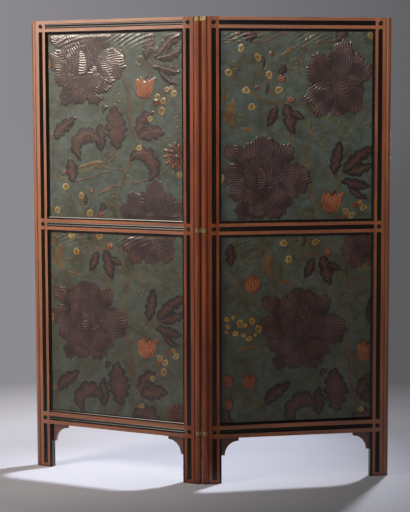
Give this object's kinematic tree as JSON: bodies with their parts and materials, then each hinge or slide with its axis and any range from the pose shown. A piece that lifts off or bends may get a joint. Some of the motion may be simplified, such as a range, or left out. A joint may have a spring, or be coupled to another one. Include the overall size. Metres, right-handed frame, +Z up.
{
  "type": "folding screen",
  "caption": "Folding screen: hinged mahogany leaves with ebonised trim hold embossed leather panels, and brass links let them fold flat either way.",
  "frame": {"origin": "on the floor, in the middle of the box round the screen as it stands, bent back from its hinge", "axes": "+Z up; X across the screen, with the plane x = 0 halfway between the hinge axes; -Y is the decorated front, towards which the hinge points"},
  "size_m": [1.4114, 0.26, 1.783],
  "materials": {
    "mahogany": "polished, satin",
    "ebonised_wood": "black stain, polished",
    "embossed_leather": "embossed, painted, waxed",
    "pine": "raw",
    "lining_cloth": "plain weave",
    "brass": "aged"
  },
  "bodies": {
    "left_leaf": {"left_hinge_stile": "mahogany", "left_outer_stile": "mahogany", "left_top_rail": "mahogany", "left_middle_rail": "mahogany", "left_bottom_rail": "mahogany", "left_stile_strips": "ebonised_wood", "left_rail_strips": "ebonised_wood", "left_roundels": "ebonised_wood", "left_upper_sight_bead": "ebonised_wood", "left_lower_sight_bead": "ebonised_wood", "left_upper_leather": "embossed_leather", "left_lower_leather": "embossed_leather", "left_upper_strainer": "pine", "left_lower_strainer": "pine", "left_upper_lining": "lining_cloth", "left_lower_lining": "lining_cloth", "left_upper_back_bead": "mahogany", "left_lower_back_bead": "mahogany", "left_foot_slips": "ebonised_wood", "left_hinge_bracket": "mahogany", "left_outer_bracket": "mahogany", "left_hinge_pins": "brass"},
    "hinge_links": {"top_hinge_link": "brass", "middle_hinge_link": "brass", "bottom_hinge_link": "brass"},
    "right_leaf": {"right_hinge_stile": "mahogany", "right_outer_stile": "mahogany", "right_top_rail": "mahogany", "right_middle_rail": "mahogany", "right_bottom_rail": "mahogany", "right_stile_strips": "ebonised_wood", "right_rail_strips": "ebonised_wood", "right_roundels": "ebonised_wood", "right_upper_sight_bead": "ebonised_wood", "right_lower_sight_bead": "ebonised_wood", "right_upper_leather": "embossed_leather", "right_lower_leather": "embossed_leather", "right_upper_strainer": "pine", "right_lower_strainer": "pine", "right_upper_lining": "lining_cloth", "right_lower_lining": "lining_cloth", "right_upper_back_bead": "mahogany", "right_lower_back_bead": "mahogany", "right_foot_slips": "ebonised_wood", "right_hinge_bracket": "mahogany", "right_outer_bracket": "mahogany", "right_hinge_pins": "brass"}
  },
  "joints": [
    {"name": "left_hinge", "type": "hinge", "parent": "left_leaf", "child": "hinge_links", "pos_m": [-0.0143, -0.11596, 0.89], "axis": [0, 0, 1], "range_deg": [-108.9, 71.1]},
    {"name": "right_hinge", "type": "hinge", "parent": "hinge_links", "child": "right_leaf", "pos_m": [0.0143, -0.11596, 0.89], "axis": [0, 0, 1], "range_deg": [-108.9, 71.1]}
  ]
}
